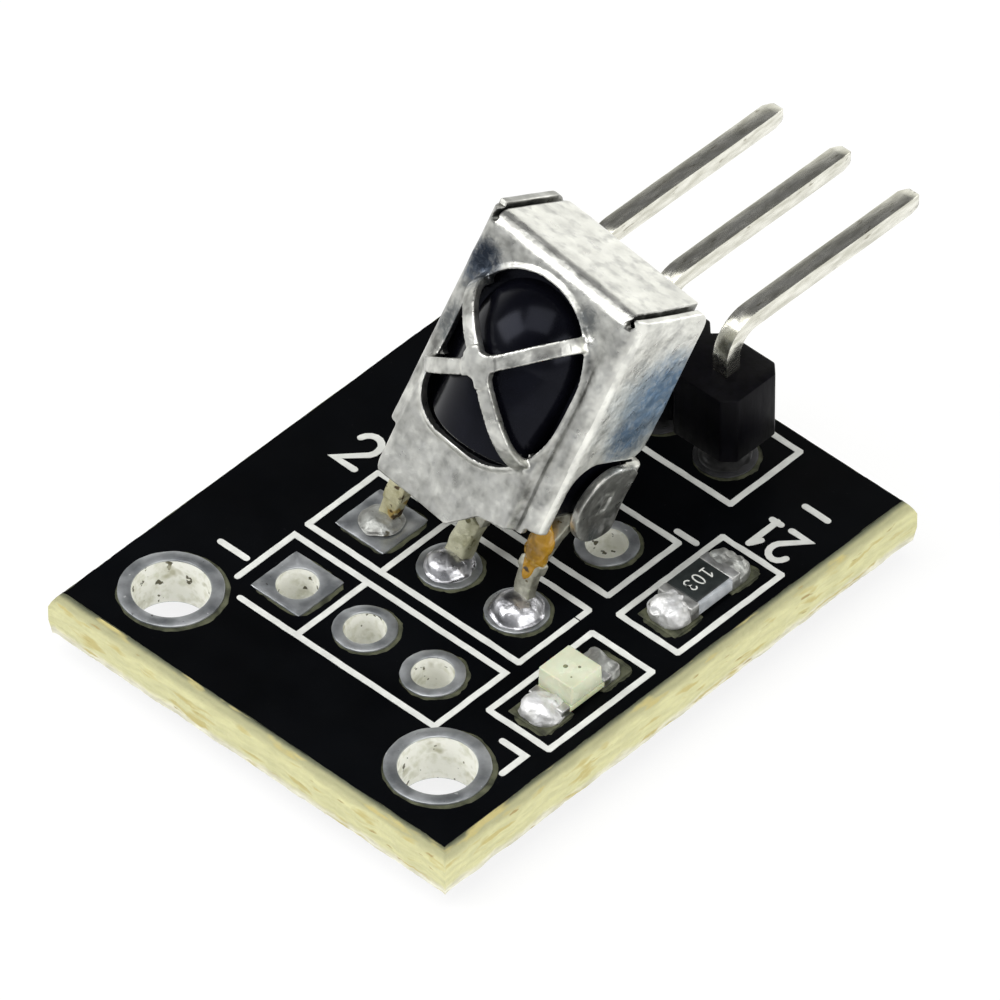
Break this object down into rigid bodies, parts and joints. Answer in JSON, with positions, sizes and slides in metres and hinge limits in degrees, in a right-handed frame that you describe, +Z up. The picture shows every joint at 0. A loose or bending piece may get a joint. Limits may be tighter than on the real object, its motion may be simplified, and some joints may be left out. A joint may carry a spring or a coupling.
{
  "type": "infrared receiver module",
  "caption": "Infrared receiver module: a leaning receiver in a folded metal shield with a crossed grille, on a small black board with a right-angle pin header and mounting holes.",
  "frame": {"origin": "midway between the two mounting holes, on the underside of the board", "axes": "+X from the left to the right mounting hole, +Y from the mounting holes towards the pin header and out along its pins, +Z up out of the board's component side"},
  "size_m": [0.0149, 0.0243, 0.0123],
  "materials": {
    "board": "satin",
    "print": "matte",
    "pad_metal": "satin",
    "shield": "satin",
    "receiver_resin": "glossy",
    "chip_silicon": "satin",
    "lead_metal": "satin",
    "solder": "glossy",
    "header_plastic": "satin",
    "pin_metal": "satin",
    "resistor_ceramic": "matte",
    "resistor_coat": "satin",
    "cap_metal": "satin",
    "light_base": "satin",
    "light_lens": "glossy",
    "light_chip": "satin"
  },
  "bodies": {
    "root": {"circuit_board": "board", "mount_ring_left": "pad_metal", "mount_ring_right": "pad_metal", "front_hole_left": "pad_metal", "front_hole_middle": "pad_metal", "front_hole_right": "pad_metal", "receiver_hole_left": "pad_metal", "receiver_hole_middle": "pad_metal", "receiver_hole_right": "pad_metal", "rear_hole_left": "pad_metal", "rear_hole_middle": "pad_metal", "rear_hole_right": "pad_metal", "header_hole_left": "pad_metal", "header_hole_middle": "pad_metal", "header_hole_right": "pad_metal", "printed_frames": "print", "receiver_shield": "shield", "receiver_body": "receiver_resin", "photodiode_chip": "chip_silicon", "amplifier_chip": "chip_silicon", "receiver_lead_left": "lead_metal", "receiver_lead_middle": "lead_metal", "receiver_lead_right": "lead_metal", "lead_solder_left": "solder", "lead_solder_middle": "solder", "lead_solder_right": "solder", "header_body": "header_plastic", "header_pin_left": "pin_metal", "header_pin_middle": "pin_metal", "header_pin_right": "pin_metal", "pin_solder_left": "solder", "pin_solder_middle": "solder", "pin_solder_right": "solder", "resistor_pads": "pad_metal", "resistor_core": "resistor_ceramic", "resistor_coat": "resistor_coat", "resistor_caps": "cap_metal", "resistor_solder_front": "solder", "resistor_solder_back": "solder", "light_pads": "pad_metal", "light_base": "light_base", "light_lens": "light_lens", "light_chip": "light_chip", "light_caps": "cap_metal", "light_solder_front": "solder", "light_solder_back": "solder"}
  },
  "joints": []
}
